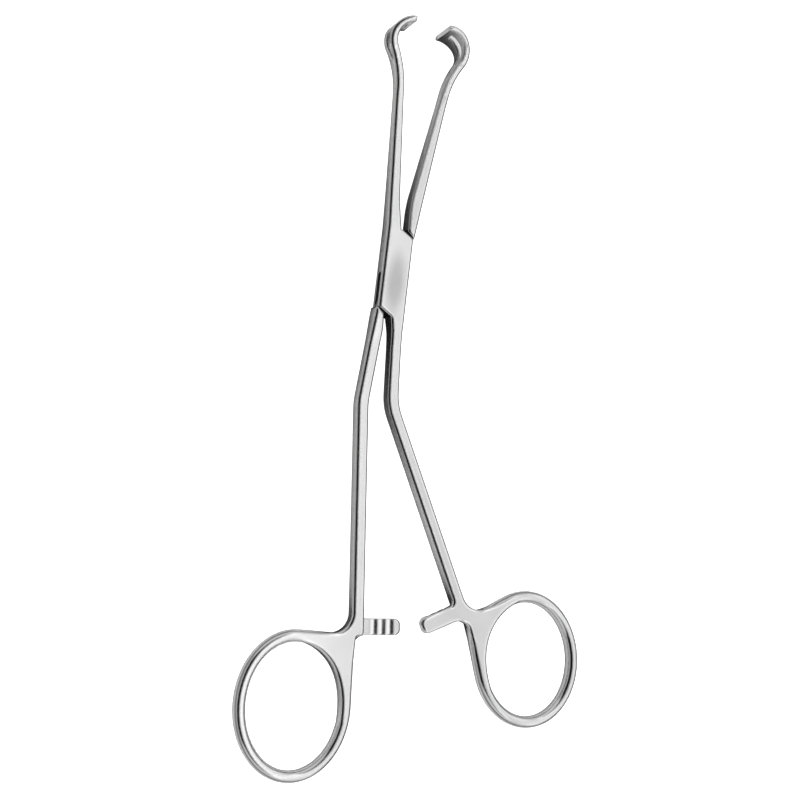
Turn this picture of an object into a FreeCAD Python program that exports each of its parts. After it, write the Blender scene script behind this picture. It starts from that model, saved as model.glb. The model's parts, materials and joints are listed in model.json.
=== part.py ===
import FreeCAD, Part
import math
import os

# Ring-handled tissue forceps with a box lock. Millimetres, +Z up, lying flat.
# The origin is on the pivot's axis, on the back face of the lock. +Y runs along the lock
# towards the jaws. The box half carries the left jaw and the right ring, and stays still.
# The through half passes through the box, and is drawn with the jaws shut, then turned.
V = FreeCAD.Vector

# Pose and the line on which the jaws meet
rest_opening = 8.0        # degrees between the shut and the drawn pose
shut_lean = 2.9           # degrees that the meeting line leans left of the lock's axis
tip_gap = 0.16            # between the two tips when shut

# Box lock
lock_half_width = 3.5
lock_thickness = 4.2
step_inner = (0.13, 10.65)  # inner end of the upper step line
step_outer_y = 8.75       # where the step line meets the lock's side
step_gap = 0.15           # between the through half and the step lines when shut
tongue_thickness = 1.4    # of the through half inside the box
tongue_boss_radius = 2.2
slot_play = 0.05          # above and below the tongue
slot_side_play = 0.15
opening_limit = 38.0      # degrees from shut at which the tongue meets the box's end walls
opening_spare = 3.0       # degrees left beyond the limit
pin_radius = 1.2
pin_play = 0.04           # radial, in the tongue
rivet_head_radius = 1.6
rivet_head_depth = 0.35
tongue_root_inset = 0.2   # of the tongue's root inside the blade's and the shank's edges

# Blades, from the lock to the jaws, drawn shut
blade_length = 57.6       # from the pivot to the centre of the box half's hook
through_blade_extra = 0.4  # of the through half's blade beyond that
blade_root_y = 11.2
blade_thickness_root = 3.7
blade_thickness_neck = 2.8
crotch_gap = 0.1          # between the two blades where they leave the lock
blade_knee_y = 17.8
box_blade_knee_x = -1.1
through_blade_knee_x = -0.8

# Jaws, drawn shut
neck_width = 2.1
neck_below = 11.7         # from the hook's centre down to the neck
box_neck_x = -5.38
through_neck_x = 2.15
jaw_radius = 5.87         # of the hook's outer face
box_jaw_x = -2.91
through_jaw_x = -1.55
jaw_back_plate = 1.95     # thickness of the hook's plate at its back
jaw_tip_plate = 1.45
jaw_sweep_radius = 24.0
jaw_back_width = 5.3
jaw_tip_width = 10.2
jaw_tip_rise = 6.4        # from the hooks' centres up to where that width is reached
flare_below = 14.8        # from the hooks' centres down to where the jaws start to widen
window_width = 2.3
window_rise = 0.6         # of the window's middle line, in front of the lock's middle plane
window_tip_margin = 17.5  # degrees of the hook left solid at its tip
window_length = 5.4       # from the hook's centre down to the window's pointed foot
window_full = 1.0         # from the hook's centre down to where the window is full width

# Shanks, web and finger rings, drawn shut
shank_width = 2.9
shank_thickness = 3.4
shank_root_y = -14.0
shank_root_round = 20.0
upper_shank_length = 17.6  # of the box half, down to the bend
lower_shank_length = 51.5  # from the bend to the ratchet bar's centre line
through_upper_extra = 0.6  # of the through half beyond those
through_lower_extra = 0.9
bend_radius = 14.0
box_shank_root_x = 2.11
box_upper_angle = 3.8     # degrees to the right of straight down, above the bend
box_lower_angle = 27.7    # below it
through_shank_root_x = -0.94
through_upper_angle = 3.5
through_lower_angle = 14.0
edge_round = 0.6
ring_half_width = 12.65   # to the middle of the wire
box_ring_half_length = 15.0
through_ring_half_length = 15.7
box_ring_place = (12.4, 17.5)      # from the ratchet bar's root, outwards and down the shank
through_ring_place = (15.1, 17.6)
box_ring_lean = 9.8
through_ring_lean = 11.2
wire_width = 2.85
wire_depth = 3.75         # of the oval wire before its front and back are ground flat
web_merge = 0.55          # from the middle of the wire, where the flat web's edges sink into it
web_overlap = 26.0        # degrees of the ring along which the web's edge at the finger hole sinks into the wire
web_lip = 0.1             # of that edge inside the wire's own
web_turn = 94.8           # degrees from the shank's edge to the web's upper edge
web_round = 4.5
web_inset = 1.9           # of the web's lower edge from the shank's inner edge

# Ratchet bars
ratchet_reach = 11.2      # from the shank's centre line to the bar's tip
ratchet_width = 3.9
ratchet_root_round = 1.2
ratchet_foot_round = 3.0
ratchet_tip_round = 1.5
ratchet_gap = 0.16        # between the facing crests
tooth_pitch = 2.05
tooth_depth = 0.6
tooth_count = 3
first_tooth = 2.0         # from the bar's tip to the first tooth's step


def heading(degrees):
    """Unit vector, in degrees from +X."""
    return V(math.cos(math.radians(degrees)), math.sin(math.radians(degrees)), 0)


def crossing(p, d, q, e):
    """Where the line through p along d meets the line through q along e."""
    along = ((q.x - p.x) * e.y - (q.y - p.y) * e.x) / (d.x * e.y - d.y * e.x)
    return p + d * along


def rounded_path(corners):
    """Edges through (point, radius) corners, each corner rounded to its radius."""
    edges = []
    here = corners[0][0]
    for before, (corner, radius), after in zip(corners, corners[1:], corners[2:]):
        into = (corner - before[0]).normalize()
        out = (after[0] - corner).normalize()
        half_turn = into.getAngle(out) / 2
        if radius > 0 and half_turn > 1e-4:
            reach = radius * math.tan(half_turn)
            start = corner - into * reach
            end = corner + out * reach
            bulge = (out - into).normalize()
            middle = corner + bulge * (radius / math.cos(half_turn) - radius)
            edges.append(Part.makeLine(here, start))
            edges.append(Part.Arc(start, middle, end).toShape())
            here = end
        else:
            edges.append(Part.makeLine(here, corner))
            here = corner
    edges.append(Part.makeLine(here, corners[-1][0]))
    return edges


def slab(edges, bottom, top):
    """Closed outline in the XY plane, raised from bottom to top."""
    face = Part.Face(Part.Wire(Part.__sortEdges__(edges)))
    face.translate(V(0, 0, bottom))
    return face.extrude(V(0, 0, top - bottom))


def polygon_slab(points, bottom, top):
    """Straight-sided slab."""
    loop = [V(p.x, p.y, 0) for p in points]
    return slab([Part.makeLine(a, b) for a, b in zip(loop, loop[1:] + loop[:1])], bottom, top)


def side_envelope():
    """The forceps' height along its length, seen from the side, as one solid across both halves."""
    lock = lock_thickness / 2
    shank = shank_thickness / 2
    far = blade_length + upper_shank_length + lower_shank_length + through_ring_half_length
    back_y = blade_length + through_blade_extra / 2
    neck_y = back_y - flare_below
    tip_y = back_y + jaw_tip_rise
    low = V(0, -far, shank)
    knee = V(0, -step_inner[1] - 7.0, shank)
    lock_low = V(0, -step_inner[1] - 1.0, lock)
    lock_high = V(0, blade_root_y, lock)
    root = V(0, blade_root_y + 7.0, blade_thickness_root / 2)
    neck = V(0, neck_y, blade_thickness_neck / 2)
    flare = Part.BSplineCurve()
    flare.interpolate([neck,
                       V(0, (neck_y + back_y) / 2, (blade_thickness_neck * 0.75 + jaw_back_width * 0.25) / 2),
                       V(0, back_y, jaw_back_width / 2),
                       V(0, tip_y, jaw_tip_width / 2)])
    upper = rounded_path([(low, 0), (knee, 20), (lock_low, 12), (lock_high, 12), (root, 20), (neck, 0)])
    upper.append(flare.toShape())
    lower = []
    for edge in upper:
        lower.append(edge.mirror(V(0, 0, 0), V(0, 0, 1)))
    ends = [Part.makeLine(low, V(0, -far, -shank)),
            Part.makeLine(V(0, tip_y, jaw_tip_width / 2), V(0, tip_y, -jaw_tip_width / 2))]
    face = Part.Face(Part.Wire(Part.__sortEdges__(upper + lower + ends)))
    face.translate(V(-far, 0, 0))
    return face.extrude(V(2 * far, 0, 0))


def short_arc(centre, start, end):
    """Arc of less than half a turn about centre."""
    outward = ((start - centre) + (end - centre)).normalize()
    return Part.Arc(start, centre + outward * (start - centre).Length, end).toShape()


def sweep_centre(point, along, outward, radius, hook, hook_radius):
    """Centre of a circle outside the line through point that touches it and the hook's circle from outside."""
    base = point + outward * radius
    away = base - hook
    reach = hook_radius + radius
    b = along.dot(away)
    travel = -b - math.sqrt(b * b - away.dot(away) + reach * reach)
    return base + along * travel


def tip_point(side, centre, radius):
    """Where a circle crosses the tip's end face, beside the line on which the jaws meet."""
    normal = heading(shut_lean)
    offset = side * tip_gap / 2 - centre.dot(normal)
    return centre + normal * offset + heading(90 + shut_lean) * math.sqrt(radius * radius - offset * offset)


class Blade:
    """Lines of one half's blade and hooked jaw, drawn shut. side is -1 on the left and 1 on the right."""

    def __init__(self, side, root, knee_x, neck_x, hook_x, hook_y):
        self.side = side
        self.root = V(root[0], root[1], 0)
        self.knee = V(knee_x, blade_knee_y, 0)
        self.neck = V(neck_x, hook_y - neck_below, 0)
        self.hook = V(hook_x, hook_y, 0)
        spread = (jaw_back_plate - jaw_tip_plate) / 2
        self.inner_hook = self.hook + V(-side * spread, spread, 0)

    def edges(self):
        """Edges from the knee over the hooked jaw to the root, with their first and last points."""
        along = (self.neck - self.root).normalize()
        outward = V(along.y, -along.x, 0) * self.side
        inner_neck = self.neck - outward * neck_width
        inner_along = (inner_neck - self.knee).normalize()
        inner_outward = V(inner_along.y, -inner_along.x, 0) * self.side
        inner_radius = jaw_radius - (jaw_back_plate + jaw_tip_plate) / 2
        wide = jaw_sweep_radius + neck_width
        outer_sweep = sweep_centre(self.root, along, outward, jaw_sweep_radius, self.hook, jaw_radius)
        inner_sweep = sweep_centre(self.knee, inner_along, inner_outward, wide, self.inner_hook, inner_radius)
        outer_start = outer_sweep - outward * jaw_sweep_radius
        inner_start = inner_sweep - inner_outward * wide
        outer_joint = outer_sweep + (self.hook - outer_sweep).normalize() * jaw_sweep_radius
        inner_joint = inner_sweep + (self.inner_hook - inner_sweep).normalize() * wide
        outer_tip = tip_point(self.side, self.hook, jaw_radius)
        inner_tip = tip_point(self.side, self.inner_hook, inner_radius)
        edges = [short_arc(outer_sweep, outer_start, outer_joint), short_arc(self.hook, outer_joint, outer_tip),
                 Part.makeLine(outer_tip, inner_tip), short_arc(self.inner_hook, inner_tip, inner_joint),
                 short_arc(inner_sweep, inner_joint, inner_start)]
        return edges, outer_start, inner_start

    def window(self):
        """Cutter for the long window through the jaw's plate, pointed at its foot."""
        far = self.hook + V(self.side, 0, 0) * (jaw_radius + 3)
        tip = tip_point(self.side, self.hook, jaw_radius) - self.hook
        tip_angle = math.degrees(math.atan2(tip.y, tip.x))
        start = self.hook + heading(tip_angle - self.side * window_tip_margin) * (jaw_radius + 3)
        foot_y = self.hook.y - window_length
        loop = [self.hook, start, V(far.x, start.y, 0), V(far.x, foot_y, 0), V(self.hook.x + self.side, foot_y, 0)]
        cutter = polygon_slab(loop, -window_width, window_width)
        half = window_width / 2
        full_y = self.hook.y - window_full
        between = (foot_y + full_y) / 2
        foot = V(0, foot_y, 0)
        top_y = self.hook.y + jaw_radius
        shape = [Part.Arc(foot, V(0, between, half * 0.62), V(0, full_y, half)).toShape(),
                 Part.makeLine(V(0, full_y, half), V(0, top_y, half)),
                 Part.makeLine(V(0, top_y, half), V(0, top_y, -half)),
                 Part.makeLine(V(0, top_y, -half), V(0, full_y, -half)),
                 Part.Arc(V(0, full_y, -half), V(0, between, -half * 0.62), foot).toShape()]
        face = Part.Face(Part.Wire(Part.__sortEdges__(shape)))
        face.translate(V(self.hook.x - 2 * jaw_radius, 0, window_rise))
        return cutter.common(face.extrude(V(4 * jaw_radius, 0, 0)))


def flat_wire(path, start, across):
    """Oval wire along a path from start, with its front and back ground flat to the shank's thickness."""
    section = Part.Ellipse(start + V(0, 0, wire_depth / 2), start + across * (wire_width / 2), start)
    spine = Part.Wire(Part.__sortEdges__(path))
    tube = spine.makePipeShell([Part.Wire([section.toShape()])], True, True)
    far = lower_shank_length * 4
    return tube.common(Part.makeBox(2 * far, 2 * far, shank_thickness, V(-far, -far, -shank_thickness / 2)))


class Handle:
    """Lines of one half's shank, web, ratchet bar and finger ring. side is 1 where the ring is on the right."""

    def __init__(self, side, root_x, angles, lengths, ring_place, ring_lean, half_length):
        upper_angle, lower_angle = angles
        self.side = side
        self.upper = heading(upper_angle - 90)
        self.bend = V(root_x, shank_root_y, 0) + self.upper * lengths[0]
        self.down = heading(lower_angle - 90)
        self.outward = heading(lower_angle) * side
        self.bar_root = self.bend + self.down * lengths[1]
        self.ring_centre = self.bar_root + self.outward * ring_place[0] + self.down * ring_place[1]
        self.ring_up = heading(90 + ring_lean)
        self.ring_across = heading(ring_lean)
        self.half_length = half_length
        self.web_line = FreeCAD.Rotation(V(0, 0, 1), side * web_turn).multVec(self.down)
        self.inner_bar = self.bar_root - self.outward * (shank_width / 2)
        self.foot_corner = self.inner_bar + self.outward * web_inset + self.down * (ratchet_width / 2)

    def shank_edge(self, towards):
        """Upper end and bend corner of the shank's outer (1) or inner (-1) edge."""
        upper_out = V(-self.upper.y, self.upper.x, 0) * self.side
        half = shank_width / 2 * towards
        on_upper = self.bend + upper_out * half
        corner = crossing(on_upper, self.upper, self.bend + self.outward * half, self.down)
        start = crossing(on_upper, self.upper, V(0, shank_root_y, 0), V(1, 0, 0))
        return start, corner

    def ellipse(self):
        """The middle line of the ring's wire."""
        return Part.Ellipse(self.ring_centre + self.ring_up * self.half_length,
                            self.ring_centre + self.ring_across * ring_half_width, self.ring_centre)

    def ring_point(self, angle, offset):
        """Point at an angle of the ring's outline, offset outwards from its middle line."""
        along = self.ring_up * ((self.half_length + offset) * math.sin(angle))
        return self.ring_centre + along + self.ring_across * ((ring_half_width + offset) * math.cos(angle))

    def outer_angle(self, offset):
        """Angle at which the ring's outline runs along the web's upper edge."""
        wide = ring_half_width + offset
        long = self.half_length + offset
        angle = math.atan2(-self.web_line.dot(self.ring_across) * long, self.web_line.dot(self.ring_up) * wide)
        options = [angle, angle + math.pi]
        return min(options, key=lambda a: (self.ring_point(a, offset) - self.bar_root).Length)

    def inner_angle(self, start, offset):
        """Angle at which a line from start touches the ring's outline on its inner side."""
        away = start - self.ring_centre
        u = away.dot(self.ring_across) / (ring_half_width + offset)
        w = away.dot(self.ring_up) / (self.half_length + offset)
        base = math.atan2(w, u)
        swing = math.acos(1 / math.hypot(u, w))
        options = [base + swing, base - swing]
        return min(options, key=lambda a: (self.ring_point(a, offset) - self.bend).dot(self.outward))

    def web_turn_corners(self):
        """Where the wire's middle lines along the shank and the web cross, and the web's edge past that turn."""
        outer = self.ring_point(self.outer_angle(0), 0)
        corner = crossing(self.bend, self.down, outer, self.web_line)
        along = (outer - corner).normalize()
        upward = V(-along.y, along.x, 0) * self.side
        past = (web_round + wire_width / 2) * math.tan(math.radians(180 - web_turn) / 2)
        return corner, corner + along * past + upward * (shank_width / 2)

    def outer_corners(self):
        """The blank's outer edge, from the lock down to the flat band of the ring."""
        start, bend = self.shank_edge(1)
        ring_point = self.ring_point(self.outer_angle(web_merge), web_merge)
        turn_end = self.web_turn_corners()[1]
        to_ring = (ring_point - turn_end).normalize()
        corner = crossing(bend, self.down, turn_end, to_ring)
        return [(start, shank_root_round), (bend, bend_radius), (corner, web_round), (ring_point, 0)]

    def inner_corners(self):
        """The blank's inner edge, from the flat band of the ring up to the lock."""
        start, bend = self.shank_edge(-1)
        bar_foot = self.inner_bar + self.down * (ratchet_width / 2)
        ring_point = self.ring_point(self.inner_angle(self.foot_corner, web_merge), web_merge)
        return [(ring_point, 0), (self.foot_corner, 0.8), (bar_foot, 0.8), (bend, bend_radius),
                (start, shank_root_round)]

    def buried(self, point):
        """Whether a point of the blank lies inside the ring's wire, near its middle line."""
        flat = Part.Vertex(point.x, point.y, 0)
        return self.ellipse().toShape().distToShape(flat)[0] < web_merge * 0.9

    def hole_edges(self):
        """The blank's edge along the finger hole, which sinks into the ring's wire past both ends of the web."""
        first = self.outer_angle(web_merge)
        last = self.inner_angle(self.foot_corner, web_merge)
        if abs(first - last) > math.pi:
            first, last = first % (2 * math.pi), last % (2 * math.pi)
        past = math.copysign(math.radians(web_overlap), last - first)
        lip = web_lip - wire_width / 2
        stations = [(first - past, -web_merge), (first - past / 2, lip * 0.8), (first, lip * 0.97),
                    ((first + last) / 2, lip), (last, lip * 0.97), (last + past / 2, lip * 0.8),
                    (last + past, -web_merge)]
        edge = Part.BSplineCurve()
        edge.interpolate([self.ring_point(angle, offset) for angle, offset in stations])
        loop = [self.ring_point(first, web_merge), self.ring_point(first - past, web_merge),
                self.ring_point(first - past, -web_merge)]
        back = [self.ring_point(last + past, -web_merge), self.ring_point(last + past, web_merge),
                self.ring_point(last, web_merge)]
        edges = [edge.toShape()]
        for run in (loop, back):
            edges.extend(Part.makeLine(a, b) for a, b in zip(run, run[1:]))
        return edges

    def wire(self):
        """The wire that leaves the shank, runs round the finger ring and comes back to the bar's foot."""
        half = wire_width / 2
        outer = self.ring_point(self.outer_angle(0), 0)
        corner = self.web_turn_corners()[0]
        start = corner - self.down * (web_round + half) * 2.2
        foot = self.foot_corner + self.outward * half
        inner = self.ring_point(self.inner_angle(foot, 0), 0)
        turn = rounded_path([(start, 0), (corner, web_round + half), (outer, 0)])
        curve = self.ellipse()
        first = curve.parameter(outer)
        last = curve.parameter(inner)
        if (last - first) % (2 * math.pi) < math.pi:
            first, last = last, first
        loop = [curve.toShape(first, first + (last - first) % (2 * math.pi)),
                Part.makeLine(inner, foot)]
        across = V(-self.web_line.y, self.web_line.x, 0)
        return flat_wire(turn, start, self.outward).fuse(flat_wire(loop, outer, across))

    def bar(self, front):
        """The ratchet bar; front is 1 for the bar whose teeth face the back, -1 for the other."""
        side_step = self.down * (ratchet_width / 2)
        tip = self.bar_root - self.outward * ratchet_reach
        below = self.ring_point(self.inner_angle(self.foot_corner, web_merge), web_merge)
        foot_line = (below - self.foot_corner).normalize()
        below = self.foot_corner + foot_line * (ratchet_foot_round * 1.3)
        root = self.inner_bar - side_step
        above = root - self.down * (ratchet_root_round * 1.3)
        inside = self.outward * (shank_width * 0.3)
        corners = [(above, 0), (root, ratchet_root_round), (tip - side_step, ratchet_tip_round),
                   (tip + side_step, ratchet_tip_round), (self.foot_corner, ratchet_foot_round), (below, 0)]
        edges = rounded_path(corners)
        edges.extend(rounded_path([(below, 0), (below + inside, 0), (above + inside, 0), (above, 0)]))
        if front > 0:
            return slab(edges, ratchet_gap / 2, shank_thickness / 2)
        return slab(edges, -shank_thickness / 2, -ratchet_gap / 2)

    def gullets(self, front, along):
        """Cutters for the saw teeth, counted from the tip along the given direction towards the root."""
        across = V(-along.y, along.x, 0)
        tip = self.bar_root - self.outward * ratchet_reach
        cutters = []
        for number in range(tooth_count):
            step = tip + along * (first_tooth + number * tooth_pitch) - across * ratchet_width
            end = step + along * (tooth_pitch * 0.88)
            crest = front * ratchet_gap / 2
            deep = front * (ratchet_gap / 2 + tooth_depth)
            spill = -front * 0.3
            loop = [step + V(0, 0, deep), end + V(0, 0, crest), end + V(0, 0, spill), step + V(0, 0, spill)]
            cutters.append(Part.Face(Part.makePolygon(loop + loop[:1])).extrude(across * (2 * ratchet_width)))
        return cutters


def sharp_edges(solid, keep):
    """Edges between a front or back face and a side wall that keep accepts, each with its middle point."""
    found = []
    for edge in solid.Edges:
        faces = solid.ancestorsOfType(edge, Part.Face)
        if len(faces) != 2:
            continue
        middle = edge.valueAt((edge.FirstParameter + edge.LastParameter) / 2)
        slopes = []
        for face in faces:
            u, v = face.Surface.parameter(middle)
            slopes.append(abs(face.normalAt(u, v).z))
        if max(slopes) > 0.7 and min(slopes) < 0.3 and keep(middle):
            found.append((edge, middle))
    return found


def round_edges(solid, radius, keep):
    """Round the kept edges, one smooth run after the other, a little less where the full radius doesn't fit."""
    tried = []
    while True:
        left = [(e, m) for e, m in sharp_edges(solid, keep) if all((m - t).Length > 0.01 for t in tried)]
        if not left:
            return solid
        edge, middle = max(left, key=lambda pair: pair[0].Length)
        tried.append(middle)
        for share in (1.0, 0.85, 0.7, 0.5):
            try:
                rounded = solid.makeFillet(radius * share, [edge])
            except Part.OCCError:
                continue
            if rounded.isValid():
                solid = rounded
                break


def wall_line():
    """Point and direction of the box's upper left inner wall, which passes the tongue's boss."""
    inner = V(step_inner[0], step_inner[1], 0)
    reach = tongue_boss_radius + slot_side_play
    facing = math.degrees(math.atan2(inner.y, inner.x) + math.acos(reach / inner.Length))
    return heading(facing) * reach, heading(facing - 90), heading(facing)


def stop_point(x):
    """Where the box's left end wall crosses x; the tongue's edge lies along it past the opening limit."""
    facing = heading(180 - opening_limit - opening_spare)
    reach = tongue_boss_radius + slot_side_play
    return V(x, (reach - facing.x * x) / facing.y, 0)


def box_slot():
    """The slot that the through half passes, open at the upper right and the lower left."""
    far = lock_half_width + 3
    touch, run, facing = wall_line()
    end_facing = heading(180 - opening_limit - opening_spare)
    corner = crossing(touch, run, stop_point(0), V(-end_facing.y, end_facing.x, 0))
    inner = V(step_inner[0], step_inner[1], 0)
    half_loop = [stop_point(-far), corner, inner, V(far, step_inner[1], 0)]
    loop = half_loop + [p * -1 for p in half_loop]
    half = tongue_thickness / 2 + slot_play
    return polygon_slab(loop, -half, half)


def pin_shape(play):
    """The joint pin with its two flush heads, or with play the bore for it."""
    half = lock_thickness / 2
    pin = Part.makeCylinder(pin_radius + play, lock_thickness, V(0, 0, -half))
    cone = Part.makeCone(pin_radius + play, rivet_head_radius + play, rivet_head_depth, V(0, 0, half - rivet_head_depth))
    return pin.fuse([cone, cone.mirror(V(0, 0, 0), V(0, 0, 1))]).removeSplitter()


def forged(plate, keep):
    """A flat blank with the side profile, and with its long edges rounded where keep accepts them."""
    blank = plate.common(side_envelope()).Solids[0]
    tip_y = blade_length + through_blade_extra + jaw_radius - jaw_back_plate
    flat = shank_thickness / 4
    return round_edges(blank, edge_round, lambda p: p.y < tip_y and abs(p.z) > flat and keep(p))


def on_step(point):
    """Whether a point lies on the box's slanting steps, whose edges stay sharp."""
    return step_outer_y - 0.5 < abs(point.y) < step_inner[1] + 0.3 and abs(point.x) < lock_half_width - 0.1


def box_half():
    """The half with the box, the left jaw and the right ring."""
    jaw, outer, inner = box_blade.edges()
    inner_step = V(step_inner[0], step_inner[1], 0)
    outer_step = V(lock_half_width, step_outer_y, 0)
    lock_side = V(lock_half_width, shank_root_y + 5, 0)
    down = [(inner, 0), (box_blade.knee, 30), (inner_step, 0), (outer_step, 0), (lock_side, 20)]
    down = down + box_handle.outer_corners()
    up = box_handle.inner_corners()
    up = up + [(inner_step * -1, 0), (outer_step * -1, 0), (box_blade.root, 0), (outer, 0)]
    edges = rounded_path(down) + box_handle.hole_edges() + rounded_path(up) + jaw
    half = jaw_tip_width / 2 + 1
    blank = slab(edges, -half, half).fuse(box_handle.bar(1)).removeSplitter()
    solid = forged(blank, lambda p: not on_step(p) and not box_handle.buried(p))
    solid = solid.cut([box_blade.window(), box_slot(), pin_shape(0)])
    solid = solid.cut(box_handle.gullets(1, through_handle.outward * -1))
    return solid.fuse(box_handle.wire()).removeSplitter().Solids[0]


def through_half():
    """The half that passes through the box, with the right jaw and the left ring, drawn shut."""
    jaw, outer, inner = through_blade.edges()
    inner_step = V(step_inner[0], step_inner[1], 0)
    outer_step = V(lock_half_width, step_outer_y, 0)
    line = (outer_step - inner_step).normalize()
    lift = V(-line.y, line.x, 0) * step_gap
    root_inner = inner_step + lift + V(crotch_gap, 0, 0)
    root_outer = crossing(inner_step + lift, line, through_blade.root, outer - through_blade.root)
    edges = rounded_path([(inner, 0), (through_blade.knee, 30), (root_inner, 0), (root_outer, 0), (outer, 0)])
    half = jaw_tip_width / 2 + 1
    blade = forged(slab(edges + jaw, -half, half), lambda p: p.y > blade_root_y + 0.5)
    blade = blade.cut(through_blade.window())
    down = through_handle.outer_corners()
    up = through_handle.inner_corners()
    shank_top = crossing(inner_step * -1 - lift, line, down[0][0], down[0][0] - down[1][0])
    down = [(root_inner * -1, 0), (shank_top, 0)] + down[1:]
    up = up + [(root_inner * -1, 0)]
    edges = rounded_path(down) + through_handle.hole_edges() + rounded_path(up)
    blank = slab(edges, -half, half).fuse(through_handle.bar(-1)).removeSplitter()
    shank = forged(blank, lambda p: p.y < -blade_root_y and not through_handle.buried(p))
    shank = shank.cut(through_handle.gullets(-1, through_handle.outward))
    solid = blade.fuse([shank, through_handle.wire(), tongue()])
    return solid.cut(pin_shape(pin_play)).removeSplitter().Solids[0]


def tongue():
    """The thin middle of the through half, with its boss round the pin."""
    touch, run, facing = wall_line()
    edge = touch - facing * slot_side_play
    top = crossing(edge, run, V(0, step_inner[1] + 0.6, 0), V(1, 0, 0))
    foot = V(tongue_boss_radius, step_inner[1] - 0.2, 0)
    half_loop = [V(tongue_boss_radius, 0, 0), foot, top, edge]
    half = tongue_thickness / 2
    arms = []
    for turn in (1, -1):
        arms.append(polygon_slab([p * turn for p in half_loop + [V(0, 0, 0)]], -half, half))
    boss = Part.makeCylinder(tongue_boss_radius, tongue_thickness, V(0, 0, -half))
    return boss.fuse(arms).removeSplitter()


box_blade = Blade(-1, (-lock_half_width, blade_root_y), box_blade_knee_x, box_neck_x, box_jaw_x, blade_length)
through_blade = Blade(1, (tongue_boss_radius + tongue_root_inset, blade_root_y + 3), through_blade_knee_x,
                      through_neck_x, through_jaw_x, blade_length + through_blade_extra)
box_handle = Handle(1, box_shank_root_x, (box_upper_angle, box_lower_angle),
                    (upper_shank_length, lower_shank_length), box_ring_place, box_ring_lean, box_ring_half_length)
through_handle = Handle(-1, through_shank_root_x, (through_upper_angle, through_lower_angle),
                        (upper_shank_length + through_upper_extra, lower_shank_length + through_lower_extra),
                        through_ring_place, through_ring_lean, through_ring_half_length)


def write_part(node, shape):
    """Set the shape on the lock's back face and write it."""
    shape = shape.translated(V(0, 0, lock_thickness / 2))
    shape.exportStep(os.path.join("parts", node + ".step"))
    print(node, shape.ShapeType, len(shape.Solids), shape.isValid(), round(shape.Volume, 1))


if __name__ == "__main__":
    os.makedirs("parts", exist_ok=True)
    write_part("box_half", box_half())
    write_part("through_half", through_half().rotated(V(0, 0, 0), V(0, 0, 1), -rest_opening))
    write_part("joint_pin", pin_shape(0))
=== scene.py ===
import json
import logging
import math
from dataclasses import dataclass, field
from enum import Enum, IntEnum

import bmesh
import bpy
from mathutils import Matrix, Vector

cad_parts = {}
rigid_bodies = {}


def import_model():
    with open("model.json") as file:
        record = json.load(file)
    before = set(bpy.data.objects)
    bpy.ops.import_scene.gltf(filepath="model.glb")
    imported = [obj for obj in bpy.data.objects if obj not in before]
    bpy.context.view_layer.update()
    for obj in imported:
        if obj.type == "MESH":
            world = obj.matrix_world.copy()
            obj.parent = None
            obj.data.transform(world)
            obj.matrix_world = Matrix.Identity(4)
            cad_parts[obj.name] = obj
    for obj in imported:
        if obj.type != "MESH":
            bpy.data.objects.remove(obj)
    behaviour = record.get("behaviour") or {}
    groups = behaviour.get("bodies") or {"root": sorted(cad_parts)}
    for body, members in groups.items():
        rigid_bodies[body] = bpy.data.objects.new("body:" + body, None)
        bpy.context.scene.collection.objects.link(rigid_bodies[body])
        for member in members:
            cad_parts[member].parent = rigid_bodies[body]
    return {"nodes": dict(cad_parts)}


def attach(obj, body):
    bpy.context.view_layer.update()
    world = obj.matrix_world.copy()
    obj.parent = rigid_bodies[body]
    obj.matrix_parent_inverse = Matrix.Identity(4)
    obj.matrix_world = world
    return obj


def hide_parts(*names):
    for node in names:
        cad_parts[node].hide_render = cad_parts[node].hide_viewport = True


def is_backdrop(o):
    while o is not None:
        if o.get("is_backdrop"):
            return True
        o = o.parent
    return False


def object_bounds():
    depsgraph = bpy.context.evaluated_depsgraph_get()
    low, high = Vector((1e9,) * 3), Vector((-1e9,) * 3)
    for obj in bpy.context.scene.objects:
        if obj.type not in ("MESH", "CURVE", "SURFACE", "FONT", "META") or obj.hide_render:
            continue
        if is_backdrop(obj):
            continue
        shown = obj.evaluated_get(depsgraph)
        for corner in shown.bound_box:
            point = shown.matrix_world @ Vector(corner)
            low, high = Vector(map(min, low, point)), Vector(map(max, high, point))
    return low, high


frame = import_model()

log = logging.getLogger("tissue_forceps")

MM = 0.001

# Steel, as all its finishes share it
STEEL_IOR = 2.5
TONE_SPREAD = 0.02         # of the brightness, to either side
CLOUD_DETAIL = 3.0
CLOUD_RANGE = (0.3, 0.7)   # of the clouds' noise, spread over the whole range of roughness
GRAIN_STRETCH = 14.0       # how much finer the grain is across its run
GRAIN_DETAIL = 4.0
GRAIN_STRENGTH = 0.35
SOFT_SAMPLES = 8

# Limits that sort the faces of a forging
SEAM = 0.001               # millimetres within which corners are one
SLIVER = 0.0005            # millimetres below which an edge is dropped
PLATE_FACING = 0.6         # least share of a plate's normal that points front or back
PLATE_STRAIGHT = 0.004     # most of it that points across the piece
LEVEL_FACING = 0.9         # the same as the first, for the slot's floor and ceiling
GRIP_FACING = 0.2          # most of a gripping side's normal that points away from the other jaw

# Softbox strength at the top of its curve
CURVE_TOP = 2.0


class Lay(Enum):
    """Which way the grain of a finished steel face runs."""

    ALONG = (GRAIN_STRETCH, 1.0, GRAIN_STRETCH)
    ACROSS = (1.0, GRAIN_STRETCH, GRAIN_STRETCH)


class Region(IntEnum):
    """The differently finished regions of a forging, numbered as its materials are."""

    SIDE = 0
    FACE = 1
    # Faces inside the lock, which get nearly black steel as painted shade.
    INSIDE = 2
    GRIP = 3


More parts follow.
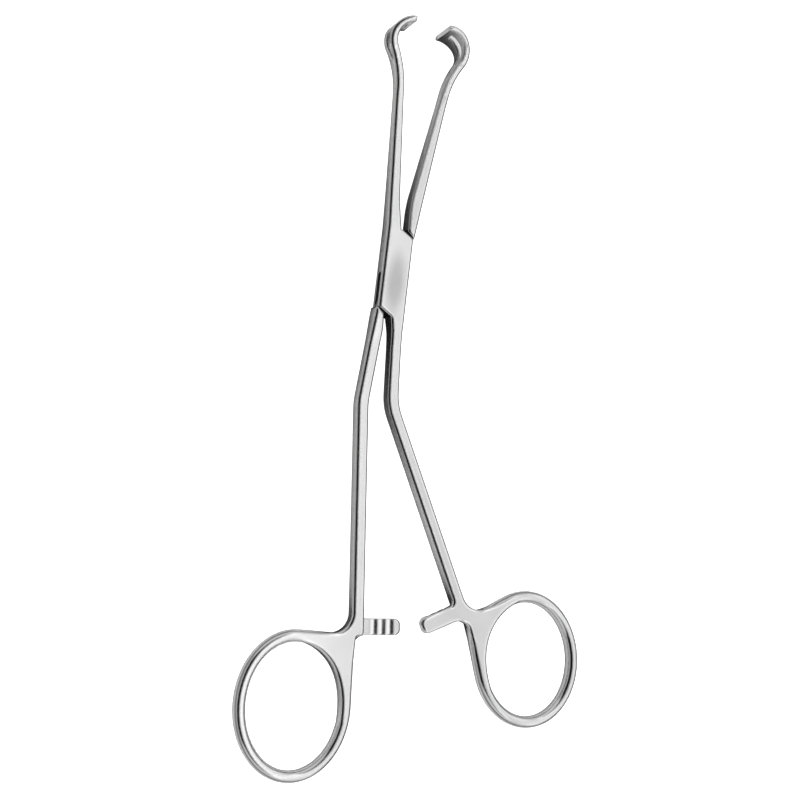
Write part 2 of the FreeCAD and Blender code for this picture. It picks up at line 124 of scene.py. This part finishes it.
@dataclass(frozen=True)
class LockPlaces:
    """The places on the box lock that the finishes follow, in millimetres.

    Attributes:
        half_width: Half the width that the slot's inside reaches.
        half_length: Half the length that it reaches.
        slot_back: Height at which the slot's inside begins.
        slot_front: Height at which it ends.
        wall_half_width: Half the width within which an upright face belongs to the slot.
        blade_root: Where the jaws' blades leave the lock.
        pin_clear: Radius round the pin within which edges stay crisp.
        pin_blend: Radius from which they are softened in full.
        shade_half_width: Half the width of the painted shade on the lock's middle.
        shade_half_length: Half its length.
        shade_middle: How far its centre lies below the pin.
        shade_core: Share of it that is darkened the most.
    """

    half_width: float = 3.6
    half_length: float = 10.9
    slot_back: float = 0.3
    slot_front: float = 3.9
    wall_half_width: float = 2.4
    blade_root: float = 11.2
    pin_clear: float = 2.3
    pin_blend: float = 2.8
    shade_half_width: float = 3.6
    shade_half_length: float = 11.5
    shade_middle: float = 2.6
    shade_core: float = 0.15


LOCK = LockPlaces()


@dataclass(frozen=True)
class Wiring:
    """The node tree of a material or of the world.

    Attributes:
        tree: The tree to fill.
    """

    tree: bpy.types.NodeTree

    def add(self, kind: str, values: dict | None = None, operation: str | None = None) -> bpy.types.Node:
        """Add a node.

        Args:
            kind: The node's type.
            values: What to set on its input sockets, by their name or number.
            operation: What a math node works out.

        Returns:
            The new node.
        """
        node = self.tree.nodes.new(kind)
        if operation is not None:
            node.operation = operation
        for socket, value in (values or {}).items():
            node.inputs[socket].default_value = value
        return node

    def join(self, out: bpy.types.NodeSocket, into: bpy.types.NodeSocket) -> None:
        """Link two sockets.

        Args:
            out: The output to read.
            into: The input that reads it.
        """
        self.tree.links.new(out, into)

    def mix(self, share: bpy.types.NodeSocket, one: bpy.types.Node,
            other: bpy.types.Node) -> bpy.types.Node:
        """Mix two shaders.

        Args:
            share: Output with the second shader's share.
            one: The first shader's node.
            other: The second shader's node.

        Returns:
            The mix node.
        """
        mixed = self.add("ShaderNodeMixShader")
        self.join(share, mixed.inputs[0])
        self.join(one.outputs[0], mixed.inputs[1])
        self.join(other.outputs[0], mixed.inputs[2])
        return mixed


@dataclass(frozen=True)
class SteelFinish:
    """A finish of the forceps' stainless steel.

    Attributes:
        name: The material's name.
        grey: Brightness of the bare metal.
        roughness: Middle roughness of the polish.
        spread: How far the roughness wanders from its middle.
        cloud_size: Size in millimetres of the soft clouds left by buffing.
        grain_size: Size in millimetres of the fine grain.
        grain_height: Height of the fine grain in millimetres.
        lay: Which way the grain runs.
        painted_shade: Share of the brightness taken off the middle of the lock's faces, a painted shade
            in the colour.
        softness: Width in millimetres over which polishing has softened the edges.
    """

    name: str
    grey: float
    roughness: float
    spread: float
    cloud_size: float
    grain_size: float
    grain_height: float
    lay: Lay
    painted_shade: float = 0.0
    softness: float = 0.0

    def material(self) -> bpy.types.Material:
        """Build the material.

        Returns:
            The procedural material, made once for each finish.
        """
        made = bpy.data.materials.get(self.name)
        if made is not None:
            return made
        made = bpy.data.materials.new(self.name)
        made.use_nodes = True
        wiring = Wiring(made.node_tree)
        shader = made.node_tree.nodes["Principled BSDF"]
        shader.inputs["Metallic"].default_value = 1.0
        shader.inputs["IOR"].default_value = STEEL_IOR
        place = wiring.add("ShaderNodeTexCoord").outputs["Object"]
        clouds = wiring.add("ShaderNodeTexNoise", {
            "Scale": 1.0 / (self.cloud_size * MM), "Detail": CLOUD_DETAIL})
        wiring.join(place, clouds.inputs["Vector"])
        wiring.join(self.colour(wiring, place, clouds.outputs["Fac"]), shader.inputs["Base Color"])
        polish = wiring.add("ShaderNodeMapRange", {
            "From Min": CLOUD_RANGE[0], "From Max": CLOUD_RANGE[1],
            "To Min": self.roughness - self.spread, "To Max": self.roughness + self.spread})
        wiring.join(clouds.outputs["Fac"], polish.inputs["Value"])
        wiring.join(polish.outputs["Result"], shader.inputs["Roughness"])
        wiring.join(self.surface(wiring, place), shader.inputs["Normal"])
        return made

    def colour(self, wiring: Wiring, place: bpy.types.NodeSocket,
               clouds: bpy.types.NodeSocket) -> bpy.types.NodeSocket:
        """Give the metal's colour, with the buffing's clouds and the painted shade on the lock's middle.

        Args:
            wiring: The material's nodes.
            place: Output with the point's place on the object.
            clouds: Output with the clouds' noise.

        Returns:
            Output with the colour.
        """
        tone = wiring.add("ShaderNodeMapRange", {
            "To Min": self.grey - TONE_SPREAD, "To Max": self.grey + TONE_SPREAD})
        wiring.join(clouds, tone.inputs["Value"])
        # Painted shade: the tone is darkened round the lock's middle.
        shade = self.painted_shade_tone(wiring, place, tone.outputs["Result"])
        colour = wiring.add("ShaderNodeCombineColor")
        for channel in ("Red", "Green", "Blue"):
            wiring.join(shade, colour.inputs[channel])
        return colour.outputs["Color"]

    def surface(self, wiring: Wiring, place: bpy.types.NodeSocket) -> bpy.types.NodeSocket:
        """Give the surface its fine grain and its softened edges.

        Args:
            wiring: The material's nodes.
            place: Output with the point's place on the object.

        Returns:
            Output with the normal.
        """
        turn = wiring.add("ShaderNodeMapping", {"Scale": self.lay.value})
        wiring.join(place, turn.inputs["Vector"])
        grain = wiring.add("ShaderNodeTexNoise", {
            "Scale": 1.0 / (self.grain_size * MM), "Detail": GRAIN_DETAIL})
        wiring.join(turn.outputs["Vector"], grain.inputs["Vector"])
        relief = wiring.add("ShaderNodeBump", {
            "Strength": GRAIN_STRENGTH, "Distance": self.grain_height * MM})
        wiring.join(grain.outputs["Fac"], relief.inputs["Height"])
        if self.softness > 0.0:
            soft = wiring.add("ShaderNodeBevel")
            soft.samples = SOFT_SAMPLES
            wiring.join(self.soft_width(wiring, place), soft.inputs["Radius"])
            wiring.join(soft.outputs["Normal"], relief.inputs["Normal"])
        return relief.outputs["Normal"]

    def soft_width(self, wiring: Wiring, place: bpy.types.NodeSocket) -> bpy.types.NodeSocket:
        """Give the width of the softened edges, with none round the pin that is ground flush.

        Args:
            wiring: The material's nodes.
            place: Output with the point's place on the object.

        Returns:
            Output with the width in metres.
        """
        flat = wiring.add("ShaderNodeVectorMath", {1: (1.0, 1.0, 0.0)}, "MULTIPLY")
        wiring.join(place, flat.inputs[0])
        distance = wiring.add("ShaderNodeVectorMath", operation="LENGTH")
        wiring.join(flat.outputs["Vector"], distance.inputs[0])
        width = wiring.add("ShaderNodeMapRange", {
            "From Min": LOCK.pin_clear * MM, "From Max": LOCK.pin_blend * MM,
            "To Min": 0.0, "To Max": self.softness * MM})
        wiring.join(distance.outputs["Value"], width.inputs["Value"])
        return width.outputs["Result"]

    def painted_shade_tone(self, wiring: Wiring, place: bpy.types.NodeSocket,
                  tone: bpy.types.NodeSocket) -> bpy.types.NodeSocket:
        """Paint shade into a tone, softly darker round the middle of the lock.

        Args:
            wiring: The material's nodes.
            place: Output with the point's place on the object.
            tone: Output with the even tone.

        Returns:
            Output with the tone to use.
        """
        if self.painted_shade <= 0.0:
            return tone
        reach = wiring.add("ShaderNodeMapping", {
            "Location": (0.0, LOCK.shade_middle / LOCK.shade_half_length, 0.0),
            "Scale": (1.0 / (LOCK.shade_half_width * MM), 1.0 / (LOCK.shade_half_length * MM), 0.0)})
        wiring.join(place, reach.inputs["Vector"])
        distance = wiring.add("ShaderNodeVectorMath", operation="LENGTH")
        wiring.join(reach.outputs["Vector"], distance.inputs[0])
        fade = wiring.add("ShaderNodeMapRange", {
            "From Min": LOCK.shade_core, "From Max": 1.0, "To Min": 1.0 - self.painted_shade, "To Max": 1.0})
        fade.interpolation_type = "SMOOTHERSTEP"
        wiring.join(distance.outputs["Value"], fade.inputs["Value"])
        result = wiring.add("ShaderNodeMath", operation="MULTIPLY")
        wiring.join(tone, result.inputs[0])
        wiring.join(fade.outputs["Result"], result.inputs[1])
        return result.outputs[0]


POLISHED = SteelFinish(
    "polished_steel", grey=0.76, roughness=0.1, spread=0.02, cloud_size=9.0,
    grain_size=0.5, grain_height=0.003, lay=Lay.ALONG, softness=0.7)
# The satin finish's colour carries a painted shade, darker round the lock's middle.
SATIN = SteelFinish(
    "satin_steel", grey=0.76, roughness=0.16, spread=0.03, cloud_size=7.0,
    grain_size=0.35, grain_height=0.004, lay=Lay.ALONG, painted_shade=0.31, softness=1.0)
GROUND = SteelFinish(
    "ground_steel", grey=0.74, roughness=0.42, spread=0.04, cloud_size=5.0,
    grain_size=0.3, grain_height=0.006, lay=Lay.ALONG)
# Nearly black steel: painted shade for the faces inside the lock's slot and steps, where shade falls.
RECESS_SHADE = SteelFinish(
    "recess_painted_shade", grey=0.08, roughness=0.55, spread=0.05, cloud_size=3.0,
    grain_size=0.25, grain_height=0.01, lay=Lay.ACROSS)


def deselect() -> None:
    """Deselect every object, so that an operator acts on the new piece alone."""
    for thing in bpy.context.view_layer.objects:
        thing.select_set(False)


@dataclass
class ForgedPiece:
    """A piece of the forceps, finished from its solid.

    Attributes:
        node: The solid's name.
        body: The moving body that carries it.
        skin: The finished piece's name.
        across: Direction in which the piece's front and back run straight.
        crease_degrees: Curved faces that meet more sharply than this keep a crisp edge.
        rim_degrees: A front or back that meets another face more sharply than this keeps a crisp edge.
        side_finish: Finish of the sides and the rounded edges.
        face_finish: Finish of the flat front and back.
        inside_painted_shade: Finish of the faces inside the lock, painted nearly black as shade.
        grip_finish: Finish of the sides that face the other jaw.
    """

    node: str
    body: str
    skin: str
    across: Vector = field(default_factory=lambda: Vector((1.0, 0.0, 0.0)))
    crease_degrees: float = 40.0
    rim_degrees: float = 25.0
    side_finish: SteelFinish = POLISHED
    face_finish: SteelFinish = SATIN
    inside_painted_shade: SteelFinish = RECESS_SHADE
    grip_finish: SteelFinish = GROUND

    def build(self) -> bpy.types.Object:
        """Make the finished piece in the solid's place.

        Returns:
            The finished piece.
        """
        piece = self.closed_copy()
        self.smooth(piece)
        self.dress(piece)
        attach(piece, self.body)
        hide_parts(self.node)
        log.info("%s stands for %s, %d faces", self.skin, self.node, len(piece.data.polygons))
        return piece

    def closed_copy(self) -> bpy.types.Object:
        """Copy the solid's mesh and close its seams.

        Returns:
            The copy, linked to the scene.
        """
        mesh = frame["nodes"][self.node].data.copy()
        mesh.name = self.skin
        mesh.materials.clear()
        shell = bmesh.new()
        shell.from_mesh(mesh)
        bmesh.ops.remove_doubles(shell, verts=shell.verts, dist=SEAM * MM)
        bmesh.ops.dissolve_degenerate(shell, edges=shell.edges, dist=SLIVER * MM)
        shell.to_mesh(mesh)
        shell.free()
        piece = bpy.data.objects.new(self.skin, mesh)
        bpy.context.scene.collection.objects.link(piece)
        return piece

    def is_plate(self, normal: Vector) -> bool:
        """Tell whether a face belongs to the piece's ground front or back.

        Args:
            normal: The face's outward normal.

        Returns:
            Whether it faces front or back and runs straight across the piece.
        """
        return abs(normal.z) > PLATE_FACING and abs(normal.dot(self.across)) < PLATE_STRAIGHT

    def smooth(self, piece: bpy.types.Object) -> None:
        """Shade the piece smooth, with true flats and with crisp edges where faces meet sharply.

        Args:
            piece: The piece to shade.
        """
        shell = bmesh.new()
        shell.from_mesh(piece.data)
        for face in shell.faces:
            face.smooth = True
        for edge in shell.edges:
            if len(edge.link_faces) != 2:
                edge.smooth = False
                continue
            one, other = edge.link_faces
            on_rim = self.is_plate(one.normal) != self.is_plate(other.normal)
            limit = self.rim_degrees if on_rim else self.crease_degrees
            edge.smooth = one.normal.angle(other.normal, 0.0) < math.radians(limit)
        shell.to_mesh(piece.data)
        shell.free()
        self.true_flats(piece.data)

    def true_flats(self, mesh: bpy.types.Mesh) -> None:
        """Give every corner on a front or back the plate's own normal, also on the rounding beside it.

        Args:
            mesh: The piece's mesh.
        """
        plates: dict[tuple[int, bool], Vector] = {}
        for face in mesh.polygons:
            if self.is_plate(face.normal):
                for vertex in face.vertices:
                    key = (vertex, face.normal.z > 0.0)
                    plates[key] = plates.get(key, Vector((0.0, 0.0, 0.0))) + face.normal * face.area
        limit = math.radians(self.rim_degrees)
        normals = [Vector(corner.vector) for corner in mesh.corner_normals]
        for face in mesh.polygons:
            for loop in face.loop_indices:
                plate = plates.get((mesh.loops[loop].vertex_index, face.normal.z > 0.0))
                if plate is not None and face.normal.angle(plate, math.tau) < limit:
                    normals[loop] = plate.normalized()
        mesh.normals_split_custom_set(normals)

    def dress(self, piece: bpy.types.Object) -> None:
        """Give each region of the piece its own finish.

        Args:
            piece: The piece to dress.
        """
        finishes = {
            Region.SIDE: self.side_finish,
            Region.FACE: self.face_finish,
            Region.INSIDE: self.inside_painted_shade,
            Region.GRIP: self.grip_finish}
        for region in Region:
            piece.data.materials.append(finishes[region].material())
        indices = [int(self.region(face.center / MM, face.normal)) for face in piece.data.polygons]
        piece.data.polygons.foreach_set("material_index", indices)

    def region(self, centre: Vector, normal: Vector) -> Region:
        """Tell which region a face belongs to.

        Args:
            centre: The face's centre in millimetres.
            normal: The face's outward normal.

        Returns:
            The region.
        """
        in_lock = (LOCK.slot_back < centre.z < LOCK.slot_front
                   and abs(centre.y) < LOCK.half_length
                   and abs(centre.x) < LOCK.half_width)
        if in_lock and (abs(normal.z) > LEVEL_FACING or abs(centre.x) < LOCK.wall_half_width):
            return Region.INSIDE
        return Region.FACE if self.is_plate(normal) else Region.SIDE


@dataclass
class BoxHalf(ForgedPiece):
    """The half with the box, the left jaw and the right ring."""

    node: str = "box_half"
    body: str = "box_body"
    skin: str = "box_half_steel"


@dataclass
class ThroughHalf(ForgedPiece):
    """The half that passes through the box, with the right jaw and the left ring.

    Attributes:
        opening_degrees: How far this half is turned from shut in the photograph's pose.
    """

    node: str = "through_half"
    body: str = "through_body"
    skin: str = "through_half_steel"
    opening_degrees: float = 8.0

    def __post_init__(self) -> None:
        """Turn the straight direction with the half's opening."""
        self.across = Matrix.Rotation(math.radians(-self.opening_degrees), 3, "Z") @ self.across

    def region(self, centre: Vector, normal: Vector) -> Region:
        """Tell which region a face belongs to, with the side that faces the other jaw as a grip.

        Args:
            centre: The face's centre in millimetres.
            normal: The face's outward normal.

        Returns:
            The region.
        """
        region = super().region(centre, normal)
        on_blade = centre.y > LOCK.blade_root
        if region is Region.SIDE and on_blade and normal.dot(self.across) < GRIP_FACING:
            return Region.GRIP
        return region


@dataclass
class JointPin(ForgedPiece):
    """The riveted pin, ground flush with the box's faces."""

    node: str = "joint_pin"
    body: str = "box_body"
    skin: str = "joint_pin_steel"


@dataclass
class Studio:
    """The pale floor, the soft light and the camera.

    Attributes:
        floor_size: Side of the floor in metres.
        floor_tone: Brightness of the floor's paint.
        floor_glow: Light added to the floor where it is looked at directly, so that it is plain white.
        contact_reach: How far the steel reaches over the floor that it mirrors, in millimetres.
        contact_shadow_tones: Brightness of that floor by the share of it that lies open: a painted
            shadow under the steel, with a painted bright band just beside it.
        contact_samples: Samples for that share.
        sky: Strength of the even light that falls on the floor.
        softbox: Strength of what the steel mirrors, by degrees from straight up towards +X.
        room: Strength of what the steel mirrors towards its two ends.
        room_ends: Where the room takes over from the softbox, by how much of a direction runs along Y.
        camera_place: The camera's place in millimetres.
        camera_turn: The camera's turn in degrees about X, Y and Z.
        lens: Focal length in millimetres.
        sensor_width: Width of the sensor in millimetres.
        clip: Nearest and farthest distance that the camera sees, in metres.
    """

    floor_size: float = 6.0
    floor_tone: float = 0.9
    floor_glow: float = 0.9
    contact_reach: float = 12.0
    contact_shadow_tones: tuple[tuple[float, float], ...] = (
        (0.0, 0.02), (0.62, 0.03), (0.76, 0.6), (0.87, 1.0), (0.94, 0.55), (1.0, 0.25))
    contact_samples: int = 8
    sky: float = 1.05
    softbox: tuple[tuple[float, float], ...] = (
        (-180.0, 0.4), (-95.0, 0.6), (-80.0, 0.6), (-64.0, 0.0), (-9.0, 0.0), (-4.0, 0.2), (5.0, 0.2),
        (10.0, 0.02), (15.0, 2.0), (18.0, 2.0), (22.0, 0.99), (27.0, 0.95), (34.0, 1.5), (46.0, 1.5),
        (58.0, 0.08), (95.0, 0.02), (180.0, 0.4))
    room: float = 0.85
    room_ends: tuple[float, float] = (0.52, 0.76)
    camera_place: tuple[float, float, float] = (-132.559, -85.277, 326.237)
    camera_turn: tuple[float, float, float] = (6.08853, -23.94826, 7.1568)
    lens: float = 67.5
    sensor_width: float = 36.0
    clip: tuple[float, float] = (0.01, 50.0)

    def build(self, floor_height: float) -> None:
        """Build the whole studio.

        Args:
            floor_height: Height of the floor in metres.
        """
        self.floor(floor_height)
        self.light()
        self.camera()
        bpy.context.scene.view_settings.view_transform = "Standard"

    def floor(self, height: float) -> None:
        """Lay the floor.

        Args:
            height: Height of the floor in metres.
        """
        deselect()
        bpy.ops.mesh.primitive_plane_add(size=self.floor_size, location=(0.0, 0.0, height))
        floor = bpy.context.active_object
        floor.name = "studio_floor"
        bpy.ops.object.transform_apply(location=True, rotation=True, scale=True)
        floor.data.materials.append(self.floor_paint())
        floor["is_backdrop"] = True

    def floor_paint(self) -> bpy.types.Material:
        """Mix the floor's paint: plain white, but grey with a painted shadow in what the steel mirrors
        of it.

        Returns:
            The paint.
        """
        paint = bpy.data.materials.new("pale_floor")
        paint.use_nodes = True
        paint.node_tree.nodes.clear()
        wiring = Wiring(paint.node_tree)
        ray = wiring.add("ShaderNodeLightPath")
        tone = self.floor_tone
        white = wiring.add("ShaderNodeBsdfDiffuse", {"Color": (tone, tone, tone, 1.0)})
        grey = wiring.add("ShaderNodeBsdfDiffuse")
        # Painted shadow: what the steel mirrors of the floor is darkened under it by ambient occlusion.
        wiring.join(self.painted_contact_shadow(wiring), grey.inputs["Color"])
        seen = wiring.mix(ray.outputs["Is Glossy Ray"], white, grey)
        lift = wiring.add("ShaderNodeMath", {1: self.floor_glow}, "MULTIPLY")
        wiring.join(ray.outputs["Is Camera Ray"], lift.inputs[0])
        glow = wiring.add("ShaderNodeEmission", {"Color": (1.0, 1.0, 1.0, 1.0)})
        wiring.join(lift.outputs[0], glow.inputs["Strength"])
        both = wiring.add("ShaderNodeAddShader")
        wiring.join(seen.outputs[0], both.inputs[0])
        wiring.join(glow.outputs[0], both.inputs[1])
        out = wiring.add("ShaderNodeOutputMaterial")
        wiring.join(both.outputs[0], out.inputs["Surface"])
        return paint

    def painted_contact_shadow(self, wiring: Wiring) -> bpy.types.NodeSocket:
        """Paint the mirrored floor's shadow, dark under the steel and brightest just beside it.

        Args:
            wiring: The paint's nodes.

        Returns:
            Output with the colour.
        """
        near = wiring.add("ShaderNodeAmbientOcclusion", {"Distance": self.contact_reach * MM})
        near.samples = self.contact_samples
        shadow = wiring.add("ShaderNodeValToRGB")
        stops = shadow.color_ramp.elements
        stops[0].position = self.contact_shadow_tones[0][0]
        stops[1].position = self.contact_shadow_tones[-1][0]
        for openness, _ in self.contact_shadow_tones[1:-1]:
            stops.new(openness)
        for stop, (_, tone) in zip(stops, self.contact_shadow_tones):
            stop.color = (tone, tone, tone, 1.0)
        wiring.join(near.outputs["AO"], shadow.inputs["Fac"])
        return shadow.outputs["Color"]

    def light(self) -> None:
        """Set an even sky, and for what the steel mirrors a wide softbox between the room's two ends."""
        world = bpy.data.worlds.new("soft_studio")
        bpy.context.scene.world = world
        world.use_nodes = True
        world.node_tree.nodes.clear()
        wiring = Wiring(world.node_tree)
        direction = wiring.add("ShaderNodeSeparateXYZ")
        wiring.join(wiring.add("ShaderNodeTexCoord").outputs["Generated"], direction.inputs[0])
        even = wiring.add("ShaderNodeBackground", {"Color": (1.0, 1.0, 1.0, 1.0), "Strength": self.sky})
        mirrored = wiring.add("ShaderNodeBackground")
        wiring.join(self.softbox_strength(wiring, direction), mirrored.inputs["Strength"])
        room = wiring.add("ShaderNodeBackground", {"Strength": self.room})
        around = wiring.mix(self.room_share(wiring, direction), mirrored, room)
        ray = wiring.add("ShaderNodeLightPath")
        pick = wiring.mix(ray.outputs["Is Glossy Ray"], even, around)
        out = wiring.add("ShaderNodeOutputWorld")
        wiring.join(pick.outputs[0], out.inputs["Surface"])

    def softbox_strength(self, wiring: Wiring, direction: bpy.types.Node) -> bpy.types.NodeSocket:
        """Read the softbox's strength off its curve.

        Args:
            wiring: The world's nodes.
            direction: Node with the parts of the direction looked at.

        Returns:
            Output with the strength.
        """
        angle = wiring.add("ShaderNodeMath", operation="ARCTAN2")
        wiring.join(direction.outputs["X"], angle.inputs[0])
        wiring.join(direction.outputs["Z"], angle.inputs[1])
        share = wiring.add("ShaderNodeMapRange", {"From Min": -math.pi, "From Max": math.pi})
        wiring.join(angle.outputs[0], share.inputs["Value"])
        curve = wiring.add("ShaderNodeFloatCurve")
        self.set_curve(curve.mapping)
        wiring.join(share.outputs["Result"], curve.inputs["Value"])
        scale = wiring.add("ShaderNodeMath", {1: CURVE_TOP}, "MULTIPLY")
        wiring.join(curve.outputs["Value"], scale.inputs[0])
        return scale.outputs[0]

    def set_curve(self, mapping: bpy.types.CurveMapping) -> None:
        """Put the softbox's strengths on a curve from 0 to 1.

        Args:
            mapping: The curve to set.
        """
        points = mapping.curves[0].points
        for degrees, strength in self.softbox[1:-1]:
            points.new((degrees + 180.0) / 360.0, strength / CURVE_TOP)
        points[0].location = (0.0, self.softbox[0][1] / CURVE_TOP)
        points[len(points) - 1].location = (1.0, self.softbox[-1][1] / CURVE_TOP)
        for point in points:
            point.handle_type = "AUTO_CLAMPED"
        mapping.update()

    def room_share(self, wiring: Wiring, direction: bpy.types.Node) -> bpy.types.NodeSocket:
        """Give the room's share, which grows towards the steel's two ends.

        Args:
            wiring: The world's nodes.
            direction: Node with the parts of the direction looked at.

        Returns:
            Output with the share.
        """
        along = wiring.add("ShaderNodeMath", operation="ABSOLUTE")
        wiring.join(direction.outputs["Y"], along.inputs[0])
        ends = wiring.add("ShaderNodeMapRange", {
            "From Min": self.room_ends[0], "From Max": self.room_ends[1]})
        ends.interpolation_type = "SMOOTHSTEP"
        wiring.join(along.outputs[0], ends.inputs["Value"])
        return ends.outputs["Result"]

    def camera(self) -> None:
        """Set the camera where the photograph was taken from."""
        data = bpy.data.cameras.new("photo_camera")
        data.lens = self.lens
        data.sensor_width = self.sensor_width
        data.clip_start, data.clip_end = self.clip
        camera = bpy.data.objects.new("photo_camera", data)
        camera.location = Vector(self.camera_place) * MM
        camera.rotation_euler = [math.radians(degrees) for degrees in self.camera_turn]
        bpy.context.scene.collection.objects.link(camera)
        bpy.context.scene.camera = camera


def main() -> None:
    """Build the forceps piece by piece and then the studio."""
    logging.basicConfig(level=logging.INFO, format="%(name)s: %(message)s")
    solid_low, solid_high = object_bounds()
    for part in (BoxHalf(), ThroughHalf(), JointPin()):
        part.build()
    Studio().build(solid_low.z)


if __name__ == "__main__":
    main()
